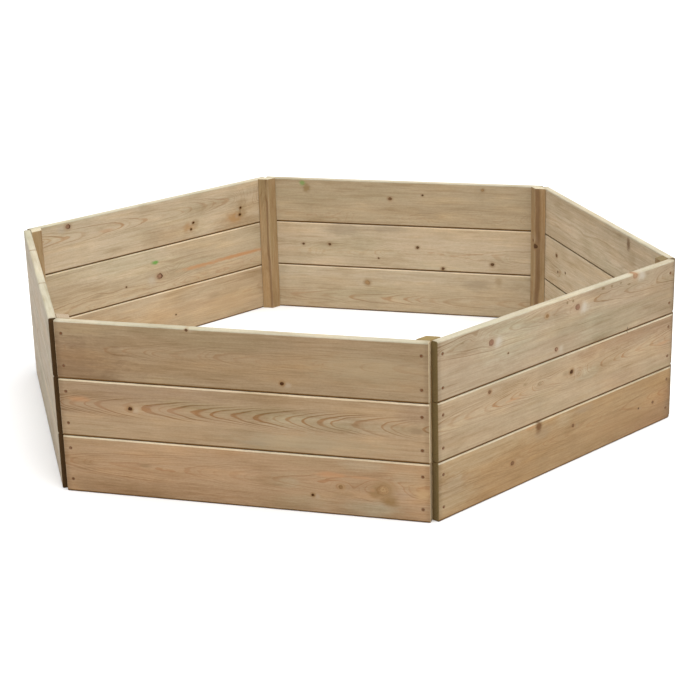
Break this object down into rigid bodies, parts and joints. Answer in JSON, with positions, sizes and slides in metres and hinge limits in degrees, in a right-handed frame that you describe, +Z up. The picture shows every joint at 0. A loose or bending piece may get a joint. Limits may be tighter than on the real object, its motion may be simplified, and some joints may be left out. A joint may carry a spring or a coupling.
{
  "type": "hexagonal timber sandbox frame",
  "caption": "Open hexagonal sandbox frame of stacked planed boards nailed to corner posts, free-standing, open at top and bottom.",
  "frame": {"origin": "middle of the hexagon at ground level", "axes": "+Z up; +X to the right along the front side, towards the right-hand corner; +Y from the front side to the back side"},
  "size_m": [1.8346, 1.5988, 0.432],
  "materials": {
    "board_timber": "matte",
    "post_timber": "matte",
    "nail_steel": "matte"
  },
  "bodies": {
    "root": {"front_bottom_board": "board_timber", "front_middle_board": "board_timber", "front_top_board": "board_timber", "front_right_bottom_board": "board_timber", "front_right_middle_board": "board_timber", "front_right_top_board": "board_timber", "back_right_bottom_board": "board_timber", "back_right_middle_board": "board_timber", "back_right_top_board": "board_timber", "back_bottom_board": "board_timber", "back_middle_board": "board_timber", "back_top_board": "board_timber", "back_left_bottom_board": "board_timber", "back_left_middle_board": "board_timber", "back_left_top_board": "board_timber", "front_left_bottom_board": "board_timber", "front_left_middle_board": "board_timber", "front_left_top_board": "board_timber", "post_front_right": "post_timber", "post_right": "post_timber", "post_back_right": "post_timber", "post_back_left": "post_timber", "post_left": "post_timber", "post_front_left": "post_timber", "front_bottom_nails": "nail_steel", "front_middle_nails": "nail_steel", "front_top_nails": "nail_steel", "front_right_bottom_nails": "nail_steel", "front_right_middle_nails": "nail_steel", "front_right_top_nails": "nail_steel", "back_right_bottom_nails": "nail_steel", "back_right_middle_nails": "nail_steel", "back_right_top_nails": "nail_steel", "back_bottom_nails": "nail_steel", "back_middle_nails": "nail_steel", "back_top_nails": "nail_steel", "back_left_bottom_nails": "nail_steel", "back_left_middle_nails": "nail_steel", "back_left_top_nails": "nail_steel", "front_left_bottom_nails": "nail_steel", "front_left_middle_nails": "nail_steel", "front_left_top_nails": "nail_steel"}
  },
  "joints": []
}
